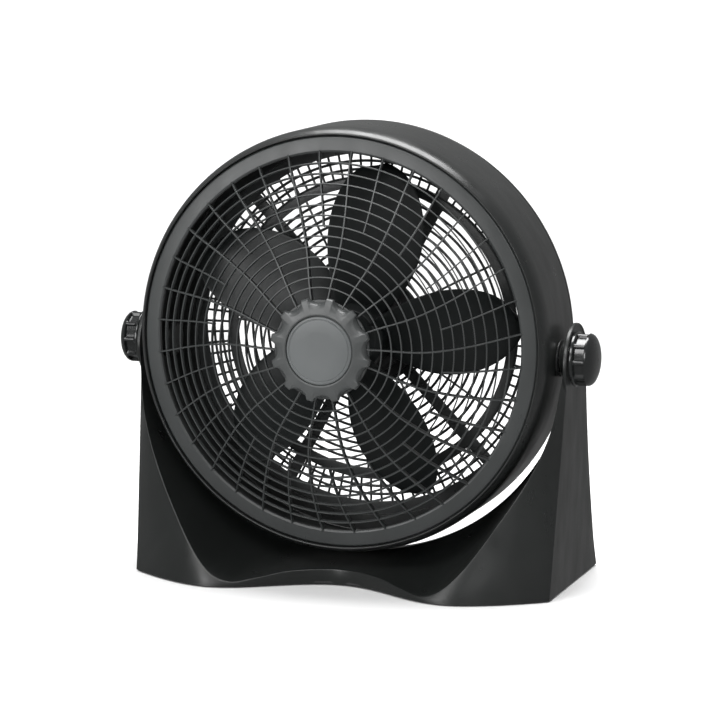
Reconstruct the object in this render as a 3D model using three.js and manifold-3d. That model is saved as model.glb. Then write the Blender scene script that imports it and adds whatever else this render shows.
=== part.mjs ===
// Tilting 16-inch drum fan on a U-shaped stand. Millimetres, +Z up, front faces -Y.
// The stand stays still. The drum tilts on two side knobs, the blades spin, and the speed knob turns.
import * as THREE from 'three';
import { mergeVertices } from 'three/addons/utils/BufferGeometryUtils.js';
import Module from 'manifold-3d';

const wasm = await Module();
wasm.setup();

// Driving dimensions. Drum parts use a frame at the centre of the grille opening, y = 0 in its plane.
const OPENING_Y = -66;
const CENTRE_Z = 266;
const DRUM_RADIUS = 230;
const DRUM_REAR = 120;
const WALL = 3;
const OPENING_RADIUS = 205;
const BEZEL_RADIUS = 221.5;
const RIB_COUNT = 18;
const RING_COUNT = 7;
const RING_PITCH = 21.2;
const OUTER_RING = 193;
const DOME_HEIGHT = 52;
const HUB_RADIUS = 56;
const GAP = 0.3;

const PIVOT_Y = 60;
const PIVOT_Z = -14;
const PAD_FACE = 231.2;
const EAR_INNER = 233.5;
const EAR_FACE = 239.8;
const EAR_OUTER = 244;
const EAR_BOSS_RADIUS = 20;
const EAR_RADIUS = 43;
const EAR_Y = 70;
const EAR_Z = 246;
const KNOB_LENGTH = 26;
const KNOB_RADIUS = 29.5;
const GRIP_RADIUS = 28;
const PANEL_COUNT = 9;
const KNOB_START = 246;
const BOLT_RADIUS = 4;
const EAR_BORE = 6;

const CRADLE_RADIUS = 239.5;
const CREST_FRONT = 70;
const CREST_REAR = 82;
const BASE_HALF_WIDTH = 236;
const BASE_DEPTH = 194;
const BASE_BOTTOM = 1.5;
const SIDE_FLARE = 0.03;
const FRONT_RAKE = 0.16;
const FOOT_LOBE = 135;

const BLADE_COUNT = 5;
const BLADE_PHASE = 73;
const BLADE_ROOT = 30;
const BLADE_TIP = 190;
const BLADE_FRONT = 26;
const BLADE_BACK = 68;
const SHAFT_RADIUS = 4;
const MOTOR_FRONT = 76;
const PLATE_FRONT = 108;
const PLATE_REAR = 112;
const REAR_ARM_WIDTH = 16;
const REAR_ARM_ANGLES = [-46, 61];
const GRILLE_SCREW_RADIUS = 213;
const MOTOR_SCREW_RADIUS = 52;
const COVER_REAR = 134;
const COVER_RADIUS = 46;
const CORD_Y = 122;

const SCREW_SHANK = 1.6;
const SCREW_HOLE = 1.9;
const SCREW_HEAD = 3.4;

const finish = {
  black: new THREE.MeshStandardMaterial({ color: 0x1b1d1d, roughness: 0.45, metalness: 0 }),
  gloss: new THREE.MeshStandardMaterial({ color: 0x0d0e0e, roughness: 0.2, metalness: 0 }),
  rubber: new THREE.MeshStandardMaterial({ color: 0x151515, roughness: 0.9, metalness: 0 }),
  steel: new THREE.MeshStandardMaterial({ color: 0xb9bcbe, roughness: 0.35, metalness: 1 }),
  brass: new THREE.MeshStandardMaterial({ color: 0xb58a3a, roughness: 0.35, metalness: 1 }),
  copper: new THREE.MeshStandardMaterial({ color: 0xa85a32, roughness: 0.4, metalness: 1 }),
};

const fan = new THREE.Group();
const head = new THREE.Group();
head.position.set(0, OPENING_Y, CENTRE_Z);
const base = new THREE.Group();
base.position.set(0, OPENING_Y, 0);
fan.add(head, base);

// ---- solids ----

function weld(geometry) {
  const bare = geometry.clone();
  bare.deleteAttribute('normal');
  bare.deleteAttribute('uv');
  return mergeVertices(bare, 1e-3);
}

function signedVolume(geometry) {
  const point = geometry.attributes.position;
  const index = geometry.index.array;
  const [a, b, c] = [new THREE.Vector3(), new THREE.Vector3(), new THREE.Vector3()];
  let sum = 0;
  for (let i = 0; i < index.length; i += 3) {
    a.fromBufferAttribute(point, index[i]);
    b.fromBufferAttribute(point, index[i + 1]);
    c.fromBufferAttribute(point, index[i + 2]);
    sum += a.dot(b.cross(c));
  }
  return sum / 6;
}

function solid(geometry) {
  const bare = weld(geometry);
  const triVerts = Uint32Array.from(bare.index.array);
  if (signedVolume(bare) < 0) {
    for (let i = 0; i < triVerts.length; i += 3) {
      [triVerts[i], triVerts[i + 1]] = [triVerts[i + 1], triVerts[i]];
    }
  }
  const vertProperties = Float32Array.from(bare.attributes.position.array);
  return new wasm.Manifold(new wasm.Mesh({ numProp: 3, vertProperties, triVerts }));
}

function toGeometry(body) {
  const mesh = body.getMesh();
  const geometry = new THREE.BufferGeometry();
  geometry.setAttribute('position', new THREE.BufferAttribute(mesh.vertProperties, 3));
  geometry.setIndex(new THREE.BufferAttribute(mesh.triVerts, 1));
  geometry.computeVertexNormals();
  return geometry;
}

function addPart(group, name, body, material) {
  const mesh = new THREE.Mesh(toGeometry(body), material);
  mesh.name = name;
  group.add(mesh);
}

// A closed profile of [radius, y] points turned about the Y axis.
function turned(profile, segments) {
  const points = profile.map(([radius, y]) => new THREE.Vector2(radius, y));
  return solid(new THREE.LatheGeometry(points, segments));
}

// A plain ring about Y, or a disc when the inner radius is zero.
function ring(inner, outer, front, rear, segments = 24) {
  const profile = [[inner, front], [outer, front], [outer, rear], [inner, rear]];
  if (inner > 0) {
    profile.push(profile[0]);
  }
  return turned(profile, segments);
}

function box(width, depth, height, x, y, z) {
  return solid(new THREE.BoxGeometry(width, depth, height).translate(x, y, z));
}

// Turns a body made about the Y axis so that its +Y end points along side * X.
function alongX(body, side) {
  return body.rotate([0, 0, -90 * side]);
}

function alongZ(body) {
  return body.rotate([90, 0, 0]);
}

// Joins closed outlines, each a list of [x, y, z], into one closed body with flat ends.
function loft(sections) {
  const count = sections[0].length;
  const points = sections.flat();
  const index = [];
  for (let i = 0; i < sections.length - 1; i += 1) {
    for (let j = 0; j < count; j += 1) {
      const next = (j + 1) % count;
      const [a, b] = [i * count + j, i * count + next];
      index.push(a, b, b + count, a, b + count, a + count);
    }
  }
  const lastStart = (sections.length - 1) * count;
  for (const start of [0, lastStart]) {
    const middle = points.length;
    const centre = [0, 1, 2].map((k) => sections[start / count]
      .reduce((sum, point) => sum + point[k] / count, 0));
    points.push(centre);
    for (let j = 0; j < count; j += 1) {
      const [a, b] = [start + j, start + (j + 1) % count];
      index.push(...(start === 0 ? [b, a, middle] : [a, b, middle]));
    }
  }
  const geometry = new THREE.BufferGeometry();
  geometry.setAttribute('position', new THREE.Float32BufferAttribute(points.flat(), 3));
  geometry.setIndex(index);
  return solid(geometry);
}

// A grille of ring bands and ribs. Bands are [inner, outer] radii, rising outwards.
function lattice(bands, ribCount, ribWidth, frontAt, swirlAt, thickness) {
  const radii = bands.flat();
  const columns = 2 * ribCount;
  const points = [];
  for (const radius of radii) {
    for (let b = 0; b < columns; b += 1) {
      const side = b % 2 === 0 ? -1 : 1;
      const half = ribWidth / (2 * radius);
      const angle = 2 * Math.PI * Math.floor(b / 2) / ribCount + swirlAt(radius) + side * half;
      const [x, z] = [radius * Math.cos(angle), radius * Math.sin(angle)];
      points.push([x, frontAt(radius), z], [x, frontAt(radius) + thickness, z]);
    }
  }
  const at = (a, b, face) => 2 * (a * columns + (b + columns) % columns) + face;
  const filled = (a, b) => a >= 0 && a < radii.length - 1
    && (a % 2 === 0 || (b + columns) % 2 === 0);
  const index = [];
  const quad = (a, b, c, d) => index.push(a, b, c, a, c, d);
  for (let a = 0; a < radii.length - 1; a += 1) {
    for (let b = 0; b < columns; b += 1) {
      if (!filled(a, b)) {
        continue;
      }
      quad(at(a, b, 0), at(a + 1, b, 0), at(a + 1, b + 1, 0), at(a, b + 1, 0));
      quad(at(a, b, 1), at(a, b + 1, 1), at(a + 1, b + 1, 1), at(a + 1, b, 1));
      if (!filled(a - 1, b)) {
        quad(at(a, b, 0), at(a, b + 1, 0), at(a, b + 1, 1), at(a, b, 1));
      }
      if (!filled(a + 1, b)) {
        quad(at(a + 1, b, 1), at(a + 1, b + 1, 1), at(a + 1, b + 1, 0), at(a + 1, b, 0));
      }
      if (!filled(a, b - 1)) {
        quad(at(a, b, 0), at(a, b, 1), at(a + 1, b, 1), at(a + 1, b, 0));
      }
      if (!filled(a, b + 1)) {
        quad(at(a, b + 1, 1), at(a, b + 1, 0), at(a + 1, b + 1, 0), at(a + 1, b + 1, 1));
      }
    }
  }
  const geometry = new THREE.BufferGeometry();
  geometry.setAttribute('position', new THREE.Float32BufferAttribute(points.flat(), 3));
  geometry.setIndex(index);
  return solid(geometry);
}

// Copies of a body spaced evenly round the Y axis and joined into one body to cut with.
function around(body, count, phase = 0) {
  let all = body.rotate([0, phase, 0]);
  for (let i = 1; i < count; i += 1) {
    all = all.add(body.rotate([0, phase + 360 * i / count, 0]));
  }
  return all;
}

// ---- stand ----

const creaseKnots = [
  [0, 2, 18], [50, -17, 17], [82, -35, 11], [108, -46, 7], [128, -48, 14], [150, -41, 34],
  [188, -20, 89], [215, 0, 136], [231, 14, 178], [240.5, 27, 236],
];
const creaseStart = [-50, -17, 17];
const creaseCurve = new THREE.CatmullRomCurve3(
  [creaseStart, ...creaseKnots].map((point) => new THREE.Vector3(...point)), false, 'centripetal');
const creasePoints = creaseCurve.getPoints(500).filter((point) => point.x >= 0);

function fallAngle(x, z) {
  return Math.atan2(Math.abs(x), CENTRE_Z - z);
}

// The crease where the saddle meets the front panel, at an angle away from straight down.
function creaseAt(angle) {
  const last = creasePoints.length - 1;
  let i = 1;
  while (i < last && fallAngle(creasePoints[i].x, creasePoints[i].z) < angle) {
    i += 1;
  }
  const [a, b] = [creasePoints[i - 1], creasePoints[i]];
  const [from, to] = [fallAngle(a.x, a.z), fallAngle(b.x, b.z)];
  return a.clone().lerp(b, (angle - from) / (to - from));
}

// Front edge of the footprint: hollow in the middle, two round foot lobes, then the side corners.
function footLine(x) {
  if (x < FOOT_LOBE) {
    return -25 + 27 * Math.cos(Math.PI * x / FOOT_LOBE);
  }
  return -52 + 52 * ((x - FOOT_LOBE) / (BASE_HALF_WIDTH - FOOT_LOBE)) ** 1.6;
}

function sideX(z) {
  return BASE_HALF_WIDTH + SIDE_FLARE * z;
}

function rearEdge(z) {
  return BASE_DEPTH - 0.45 * z + 0.0005 * z * z;
}

// Where a ray from the drum centre leaves the stand: through the floor or through a side.
function outerAt(angle, inset, bottom) {
  const floorX = Math.tan(angle) * (CENTRE_Z - bottom);
  const floorFront = footLine(Math.min(floorX, BASE_HALF_WIDTH));
  if (floorX <= sideX(bottom) - inset) {
    return { x: floorX, z: bottom, front: floorFront + inset, rear: BASE_DEPTH - inset };
  }
  const slope = Math.tan(angle);
  const x = (sideX(CENTRE_Z) - inset) / (1 + SIDE_FLARE / slope);
  const z = CENTRE_Z - x / slope;
  const height = Math.max(z, 0);
  return { x, z, front: FRONT_RAKE * height + inset, rear: rearEdge(height) - inset };
}

const SADDLE_STEPS = 4;
const PANEL_STEPS = 3;
const REAR_STEPS = 4;

// One outline of the stand in the plane of a ray from the drum centre.
function standSection(angle, side, inset, bottom) {
  const [sin, cos] = [Math.sin(angle), Math.cos(angle)];
  const crestRadius = CRADLE_RADIUS + inset;
  const crease = creaseAt(angle);
  const creaseRadius = Math.hypot(crease.x, CENTRE_Z - crease.z) + inset;
  const outer = outerAt(angle, inset, bottom);
  const outerRadius = Math.hypot(outer.x, CENTRE_Z - outer.z);
  const outline = [];
  const put = (radius, y) => outline.push([side * radius * sin, y, CENTRE_Z - radius * cos]);
  const [crestFront, crestRear] = [CREST_FRONT + inset, CREST_REAR - inset];
  for (let i = 0; i < SADDLE_STEPS; i += 1) {
    const s = i / SADDLE_STEPS;
    const radius = crestRadius + (creaseRadius - crestRadius) * s;
    put(radius, crestFront + (crease.y + inset - crestFront) * s ** 1.7);
  }
  for (let i = 0; i <= PANEL_STEPS; i += 1) {
    const s = i / PANEL_STEPS;
    const bulge = 5 * Math.sin(Math.PI * s) * Math.min(1, (outerRadius - creaseRadius) / 40);
    put(creaseRadius + (outerRadius - creaseRadius) * s,
      crease.y + inset + (outer.front - crease.y - inset) * s - bulge);
  }
  for (let i = REAR_STEPS; i >= 0; i -= 1) {
    const s = i / REAR_STEPS;
    put(crestRadius + (outerRadius - crestRadius) * s,
      crestRear + (outer.rear - crestRear) * s ** 0.75);
  }
  return outline;
}

// The whole U, from the top of one arm round to the other, shrunk by the inset.
function standBody(inset, bottom, topAngle, steps) {
  const corner = Math.atan2(BASE_HALF_WIDTH - inset, CENTRE_Z - bottom);
  const angles = [];
  for (let i = 0; i < steps; i += 1) {
    angles.push(corner * i / steps);
  }
  for (let i = 0; i <= steps; i += 1) {
    angles.push(corner + (topAngle - corner) * i / steps);
  }
  const left = angles.slice(1).reverse().map((angle) => standSection(angle, -1, inset, bottom));
  const right = angles.map((angle) => standSection(angle, 1, inset, bottom));
  return loft([...left, ...right]);
}

const ARM_TOP_ANGLE = fallAngle(240.5, 236);
const HOLLOW_TOP_ANGLE = fallAngle(240, 185);
const SCREW_SPOTS = [[-150, 20], [150, 20], [-120, 140], [120, 140]];
const FOOT_SPOTS = [[-140, -25], [140, -25], [-200, 165], [200, 165]];
const PLATE_BOTTOM = 2.6;
const PLATE_TOP = 4.6;

function upright(radius, bottom, top, [x, y], segments = 12) {
  return alongZ(ring(0, radius, bottom, top, segments)).translate([x, y, 0]);
}

function baseShell() {
  const outer = standBody(0, BASE_BOTTOM, ARM_TOP_ANGLE, 10);
  let shell = outer.subtract(standBody(WALL, -6, HOLLOW_TOP_ANGLE, 6));
  for (const spot of SCREW_SPOTS) {
    shell = shell.add(upright(5.5, PLATE_TOP + GAP, 60, spot, 8).intersect(outer));
  }
  for (const spot of SCREW_SPOTS) {
    shell = shell.subtract(upright(SCREW_HOLE, 0, 16, spot, 8));
  }
  for (const side of [-1, 1]) {
    const ear = alongX(ring(0, EAR_RADIUS, EAR_FACE, EAR_OUTER, 30), side);
    const boss = alongX(ring(0, EAR_BOSS_RADIUS, EAR_INNER, EAR_FACE + 1, 20), side);
    const bore = alongX(ring(0, EAR_BORE, EAR_INNER - 5, EAR_OUTER + 5, 12), side);
    shell = shell.add(ear.translate([0, EAR_Y, EAR_Z]));
    shell = shell.add(boss.translate([0, PIVOT_Y, CENTRE_Z + PIVOT_Z]));
    shell = shell.subtract(bore.translate([0, PIVOT_Y, CENTRE_Z + PIVOT_Z]));
  }
  return shell;
}

function bottomPlate() {
  const slab = box(2 * BASE_HALF_WIDTH, 2 * BASE_DEPTH, PLATE_TOP - PLATE_BOTTOM,
    0, 0, (PLATE_TOP + PLATE_BOTTOM) / 2);
  let plate = slab.intersect(standBody(WALL + 0.5, -6, HOLLOW_TOP_ANGLE, 6));
  for (const spot of SCREW_SPOTS) {
    plate = plate.subtract(upright(SCREW_HOLE, 0, 10, spot, 8));
  }
  return plate;
}

function addStand() {
  addPart(base, 'base_shell', baseShell(), finish.black);
  addPart(base, 'bottom_plate', bottomPlate(), finish.black);
  FOOT_SPOTS.forEach((spot, i) => {
    addPart(base, `rubber_foot_${i + 1}`, upright(11, 0, PLATE_BOTTOM - GAP, spot, 16), finish.rubber);
  });
  SCREW_SPOTS.forEach((spot, i) => {
    const headPart = upright(3.2, 1, PLATE_BOTTOM - GAP, spot, 8);
    const shank = upright(SCREW_SHANK, 1.5, 15, spot, 6);
    addPart(base, `bottom_screw_${i + 1}`, headPart.add(shank), finish.steel);
  });
}

// ---- drum and grilles ----

function atPivot(body, side) {
  return alongX(body, side).translate([0, PIVOT_Y, PIVOT_Z]);
}

function screwHoles(radius) {
  const hole = ring(0, SCREW_HOLE, 90, 120, 8).translate([radius, 0, 0]);
  return around(hole, 4, 45);
}

function drumShell() {
  const profile = [
    [222, 4], [222, -3.6], [223, -4.5], [224.6, -2.8], [227, 1.5], [229, 9],
    [DRUM_RADIUS, 20], [DRUM_RADIUS, 104],
    [227.5, 117], [225.8, DRUM_REAR], [225.8, PLATE_FRONT - GAP], [207, PLATE_FRONT - GAP],
    [207, 104], [227, 104], [227, 8], [222, 4],
  ];
  let shell = turned(profile, 48);
  for (const side of [-1, 1]) {
    shell = shell.add(atPivot(ring(0, 20, 212, PAD_FACE, 18), side));
    shell = shell.subtract(atPivot(ring(0, 9.3, 205, 224, 12), side));
    shell = shell.subtract(atPivot(ring(0, 5, 205, 240, 10), side));
  }
  return shell.subtract(screwHoles(GRILLE_SCREW_RADIUS));
}

// Height of the domed front grille, bulging forward of the opening plane.
function domeFront(radius) {
  const s = Math.min(radius / OPENING_RADIUS, 1);
  return -3 - DOME_HEIGHT * Math.cos(Math.PI / 2 * s ** 1.25) ** 0.8;
}

// The ribs lean slightly, first back near the hub and then forward to the rim.
function ribLean(radius) {
  return THREE.MathUtils.degToRad(5.5 * ((radius - 100) / 105));
}

function frontGrille() {
  const bands = [[46, 52]];
  for (let i = RING_COUNT - 1; i >= 0; i -= 1) {
    const radius = OUTER_RING - RING_PITCH * i;
    bands.push([radius - 1.2, radius + 1.2]);
  }
  bands.push([OPENING_RADIUS - 1, OPENING_RADIUS + 5]);
  const wires = lattice(bands, RIB_COUNT, 2.2, domeFront, ribLean, 2.4);
  const bezel = turned([
    [OPENING_RADIUS - 1.5, -3], [BEZEL_RADIUS, -1], [BEZEL_RADIUS, 13], [BEZEL_RADIUS - 2.5, 13],
    [BEZEL_RADIUS - 2.5, 3], [OPENING_RADIUS - 1.5, 3], [OPENING_RADIUS - 1.5, -3],
  ], 36);
  return wires.add(bezel);
}

const CAP_FRONT = -62;
const NOTCH_COUNT = 12;
const NOTCH_RADIUS = 11.5;

function hubCap() {
  const back = domeFront(50) - 2;
  const skirt = domeFront(HUB_RADIUS) - 1;
  const cap = turned([
    [0, CAP_FRONT + 3], [37, CAP_FRONT + 3], [37, CAP_FRONT + 0.6], [40, CAP_FRONT],
    [HUB_RADIUS - 7, CAP_FRONT + 2.5], [HUB_RADIUS, CAP_FRONT + 6], [HUB_RADIUS, skirt],
    [53, skirt], [53, back], [0, back],
  ], 36);
  const notch = ring(0, NOTCH_RADIUS, -40, 40, 8).rotate([0, 0, -12])
    .translate([HUB_RADIUS + 4, CAP_FRONT + 7, 0]);
  return cap.subtract(around(notch, NOTCH_COUNT, 3));
}

function hubDisc() {
  return turned([
    [0, CAP_FRONT], [34, CAP_FRONT], [36.2, CAP_FRONT + 1], [36.2, CAP_FRONT + 3 - GAP],
    [0, CAP_FRONT + 3 - GAP],
  ], 28);
}

function rearGrille() {
  const bands = [[57, 64]];
  for (let radius = 94; radius < 195; radius += 32) {
    bands.push([radius - 1.5, radius + 1.5]);
  }
  bands.push([203, 208]);
  const swirl = (radius) => THREE.MathUtils.degToRad(0.28 * (radius - 60));
  const wires = lattice(bands, 12, 3, () => PLATE_FRONT, swirl, 3);
  const rim = ring(207, 225, PLATE_FRONT, PLATE_REAR, 32);
  const plate = ring(8.4, 62, PLATE_FRONT, PLATE_REAR, 20);
  const arm = box(152, PLATE_REAR - PLATE_FRONT, REAR_ARM_WIDTH,
    134, (PLATE_FRONT + PLATE_REAR) / 2, 0);
  let grille = wires.add(rim).add(plate);
  for (const angle of REAR_ARM_ANGLES) {
    grille = grille.add(around(arm, 2, -angle));
  }
  return grille.subtract(screwHoles(GRILLE_SCREW_RADIUS)).subtract(screwHoles(MOTOR_SCREW_RADIUS));
}

function screw(front, rear, radius, angle) {
  const headPart = ring(0, SCREW_HEAD, rear, rear + 2, 8);
  const shank = ring(0, SCREW_SHANK, front, rear + 1, 6);
  return headPart.add(shank).translate([radius, 0, 0]).rotate([0, angle, 0]);
}

function addDrum() {
  addPart(head, 'drum_shell', drumShell(), finish.black);
  addPart(head, 'front_grille', frontGrille(), finish.black);
  addPart(head, 'hub_cap', hubCap(), finish.black);
  addPart(head, 'hub_disc', hubDisc(), finish.black);
  addPart(head, 'rear_grille', rearGrille(), finish.black);
  for (let i = 0; i < 4; i += 1) {
    const angle = 45 + 90 * i;
    const grilleScrew = screw(105, PLATE_REAR + GAP, GRILLE_SCREW_RADIUS, angle);
    const motorScrew = screw(105, PLATE_REAR + GAP, MOTOR_SCREW_RADIUS, angle);
    addPart(head, `rear_grille_screw_${i + 1}`, grilleScrew, finish.steel);
    addPart(head, `motor_screw_${i + 1}`, motorScrew, finish.steel);
  }
  for (const [name, side] of [['left', -1], ['right', 1]]) {
    const insert = atPivot(ring(BOLT_RADIUS + GAP, 9, 212, 224 - GAP, 12), side);
    addPart(head, `${name}_pivot_insert`, insert, finish.brass);
  }
}

// ---- motor and controls ----

function motorHousing() {
  const housing = turned([
    [8.4, MOTOR_FRONT], [44, MOTOR_FRONT], [48, MOTOR_FRONT + 4], [48, 103], [57, 103],
    [57, PLATE_FRONT - GAP], [46, PLATE_FRONT - GAP], [46, MOTOR_FRONT + 5],
    [43, MOTOR_FRONT + 2.5], [13, MOTOR_FRONT + 2.5], [13, MOTOR_FRONT + 6],
    [8.4, MOTOR_FRONT + 6], [8.4, MOTOR_FRONT],
  ], 24);
  return housing.subtract(screwHoles(MOTOR_SCREW_RADIUS));
}

function rearCover() {
  const front = PLATE_REAR + GAP;
  const cover = turned([
    [COVER_RADIUS, front], [COVER_RADIUS, COVER_REAR - 6], [COVER_RADIUS - 6, COVER_REAR],
    [5, COVER_REAR], [5, COVER_REAR - 2.2], [COVER_RADIUS - 7, COVER_REAR - 2.2],
    [COVER_RADIUS - 2.2, COVER_REAR - 7], [COVER_RADIUS - 2.2, front], [COVER_RADIUS, front],
  ], 24);
  const cordHole = alongZ(ring(0, 5.3, -60, -30, 12)).translate([0, CORD_Y, 0]);
  return cover.subtract(cordHole);
}

function addMotor() {
  const inside = MOTOR_FRONT + 8;
  addPart(head, 'motor_housing', motorHousing(), finish.black);
  addPart(head, 'stator_core', ring(24, 45.6, inside + 4, 103, 24), finish.steel);
  addPart(head, 'stator_windings', ring(27, 42, inside - 1, inside + 4 - GAP, 20), finish.copper);
  addPart(head, 'front_bearing', ring(SHAFT_RADIUS + GAP, 8, MOTOR_FRONT, MOTOR_FRONT + 6, 14),
    finish.brass);
  addPart(head, 'rear_bearing', ring(SHAFT_RADIUS + GAP, 8, PLATE_FRONT - 1, PLATE_REAR, 14),
    finish.brass);
  addPart(head, 'motor_rear_cover', rearCover(), finish.black);
  addPart(head, 'speed_switch', box(24, 14, 24, 0, 124, 0).add(ring(0, 3, 124, 137, 12)),
    finish.gloss);
  addPart(head, 'run_capacitor', box(32, 12, 13, 0, 122, 28), finish.gloss);
  const gland = ring(3.6, 5, -54, -36, 12).add(ring(3.6, 8, -54, -COVER_RADIUS - 1, 12));
  addPart(head, 'cord_gland', alongZ(gland).translate([0, CORD_Y, 0]), finish.rubber);
}

function speedKnob() {
  const front = COVER_REAR + GAP;
  const body = turned([
    [0, 138], [3.4, 138], [3.4, front], [17, front], [17, front + 4], [14, front + 6],
    [13, front + 15], [11, front + 17], [0, front + 17],
  ], 20);
  return body.add(box(4, 3, 26, 0, front + 17.5, 0).intersect(ring(0, 13, 100, 200, 20)));
}

// ---- rotor ----

// Edge angles of one blade in degrees, from the root at 0 to the tip at 1. Both edges close in
// along the blade, the leading one more, and the last terms round the corners of the tip.
function bladeEdges(s) {
  const lead = -33 + 33 * s ** 1.6 + 5 * s ** 14;
  const trail = 34 - 20 * s ** 1.9 - 4 * s ** 14;
  return [lead, trail];
}

function blade() {
  const sections = [];
  const [rows, columns] = [6, 5];
  for (let i = 0; i <= rows; i += 1) {
    const s = i / rows;
    const radius = BLADE_ROOT + (BLADE_TIP - BLADE_ROOT) * s;
    const [lead, trail] = bladeEdges(s);
    const place = (u, offset) => {
      const angle = THREE.MathUtils.degToRad(lead + (trail - lead) * u);
      const depth = (BLADE_BACK - BLADE_FRONT) * (1 - 0.15 * s);
      const y = BLADE_BACK - depth * u + 7 * Math.sin(Math.PI * u) + offset;
      return [radius * Math.cos(angle), y, radius * Math.sin(angle)];
    };
    const faceUp = [];
    const faceDown = [];
    for (let j = 0; j <= columns; j += 1) {
      faceUp.push(place(j / columns, -1.1));
      faceDown.unshift(place(j / columns, 1.1));
    }
    sections.push([...faceUp, ...faceDown]);
  }
  return loft(sections);
}

function fanBlades() {
  const hub = turned([
    [SHAFT_RADIUS + GAP, 30], [31, 30], [38, 37], [38, 73], [35, 73], [35, 38], [9, 34],
    [9, 70], [SHAFT_RADIUS + GAP, 70], [SHAFT_RADIUS + GAP, 30],
  ], 30);
  const inside = ring(0, 36.5, 20, 75, 30);
  const blades = around(blade(), BLADE_COUNT, -BLADE_PHASE).subtract(inside);
  return hub.add(blades);
}

function lockNut() {
  return ring(0, 11, 19, 30 - GAP, 6).subtract(ring(0, SHAFT_RADIUS + GAP, 10, 40, 12));
}

function addRotor() {
  addPart(head, 'fan_blades', fanBlades(), finish.gloss);
  addPart(head, 'blade_lock_nut', lockNut(), finish.black);
  addPart(head, 'motor_shaft', ring(0, SHAFT_RADIUS, 17, PLATE_REAR + 1, 18), finish.steel);
  addPart(head, 'rotor_core', ring(SHAFT_RADIUS + GAP, 23.5, MOTOR_FRONT + 12, 103, 20),
    finish.steel);
}

// ---- tilt knobs ----

// A flanged knob with wide hollow panels round the grip and a domed end over them.
function tiltKnob() {
  const end = KNOB_START + KNOB_LENGTH;
  const gripStart = KNOB_START + 3.4;
  const gripEnd = KNOB_START + 15.4;
  const knob = turned([
    [0, KNOB_START], [KNOB_RADIUS, KNOB_START], [KNOB_RADIUS, KNOB_START + 2.6],
    [GRIP_RADIUS, gripStart], [GRIP_RADIUS, gripEnd], [GRIP_RADIUS - 2, gripEnd + 4.4],
    [GRIP_RADIUS - 8, gripEnd + 8], [GRIP_RADIUS - 17, end - 0.7], [0, end],
  ], 27);
  const panel = ring(0, 9, gripStart, gripEnd, 8).translate([GRIP_RADIUS + 5.6, 0, 0]);
  const socket = ring(0, BOLT_RADIUS + GAP, KNOB_START - 1, KNOB_START + 9, 10);
  return knob.subtract(around(panel, PANEL_COUNT)).subtract(socket);
}

function addKnobs() {
  for (const [name, side] of [['left', -1], ['right', 1]]) {
    const bolt = ring(0, BOLT_RADIUS, 214, KNOB_START + 9 - GAP, 10);
    const outerWasher = ring(EAR_BORE, 14, EAR_OUTER + GAP, EAR_OUTER + GAP + 1.4, 16);
    const innerWasher = ring(EAR_BORE, 15, PAD_FACE + GAP, EAR_INNER - GAP, 16);
    addPart(head, `${name}_tilt_knob`, atPivot(tiltKnob(), side), finish.gloss);
    addPart(head, `${name}_tilt_bolt`, atPivot(bolt, side), finish.steel);
    addPart(head, `${name}_outer_washer`, atPivot(outerWasher, side), finish.steel);
    addPart(head, `${name}_friction_washer`, atPivot(innerWasher, side), finish.rubber);
  }
}

addStand();
addDrum();
addMotor();
addRotor();
addKnobs();
addPart(head, 'speed_knob', speedKnob(), finish.gloss);

export default fan;
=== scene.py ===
"""Looks of a tilting drum fan on a U-shaped stand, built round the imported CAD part.

Shapes are worked out in millimetres and stored in metres. Drum shapes use a frame at the centre of
the grille opening, with y = 0 in its plane, and stand shapes share its y but keep z = 0 on the floor.
"""

import math

import bmesh
import bpy
import numpy as np
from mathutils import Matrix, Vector


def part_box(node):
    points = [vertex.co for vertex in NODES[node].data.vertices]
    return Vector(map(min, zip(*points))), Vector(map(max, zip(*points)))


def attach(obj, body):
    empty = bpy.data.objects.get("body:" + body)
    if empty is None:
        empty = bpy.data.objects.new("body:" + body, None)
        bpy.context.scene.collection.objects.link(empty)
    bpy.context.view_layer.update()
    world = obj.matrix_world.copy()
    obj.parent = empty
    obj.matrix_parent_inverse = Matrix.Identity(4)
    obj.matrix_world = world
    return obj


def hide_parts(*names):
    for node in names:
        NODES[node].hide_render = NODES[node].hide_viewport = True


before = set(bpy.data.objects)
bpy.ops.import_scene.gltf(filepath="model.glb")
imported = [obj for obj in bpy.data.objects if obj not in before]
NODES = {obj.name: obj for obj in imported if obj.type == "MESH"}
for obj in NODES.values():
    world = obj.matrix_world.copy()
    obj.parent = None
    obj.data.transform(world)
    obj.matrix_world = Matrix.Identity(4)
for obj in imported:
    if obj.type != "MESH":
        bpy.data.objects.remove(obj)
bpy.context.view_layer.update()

MM = 0.001


# ---- places taken from the CAD part ----

def box_mm(node):
    low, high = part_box(node)
    return np.array(low) / MM, np.array(high) / MM


DRUM_LOW, DRUM_HIGH = box_mm("drum_shell")
KNOB_LOW, KNOB_HIGH = box_mm("right_tilt_knob")
RIM_PROUD = 4.5
OPENING_Y = DRUM_LOW[1] + RIM_PROUD
CENTRE_Z = (DRUM_LOW[2] + DRUM_HIGH[2]) / 2
DRUM_RADIUS = (DRUM_HIGH[2] - DRUM_LOW[2]) / 2
PIVOT_Y = (KNOB_LOW[1] + KNOB_HIGH[1]) / 2 - OPENING_Y
PIVOT_Z = (KNOB_LOW[2] + KNOB_HIGH[2]) / 2 - CENTRE_Z
KNOB_START, KNOB_END = KNOB_LOW[0], KNOB_HIGH[0]
KNOB_RADIUS = (KNOB_HIGH[2] - KNOB_LOW[2]) / 2

CAMERA_AZIMUTH, CAMERA_ELEVATION = 19.0, 9.0
CAMERA_DISTANCE, CAMERA_LENS = 3.5, 161.0
CAMERA_TARGET = (0.002, 0.0, 0.2375)
LIGHT_TARGET = (0.0, 0.0, 0.25)
FLOOR_TARGET = (0.0, 0.2, 0.0)
WALL_TARGET = (-0.8, 7.0, 1.6)

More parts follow.
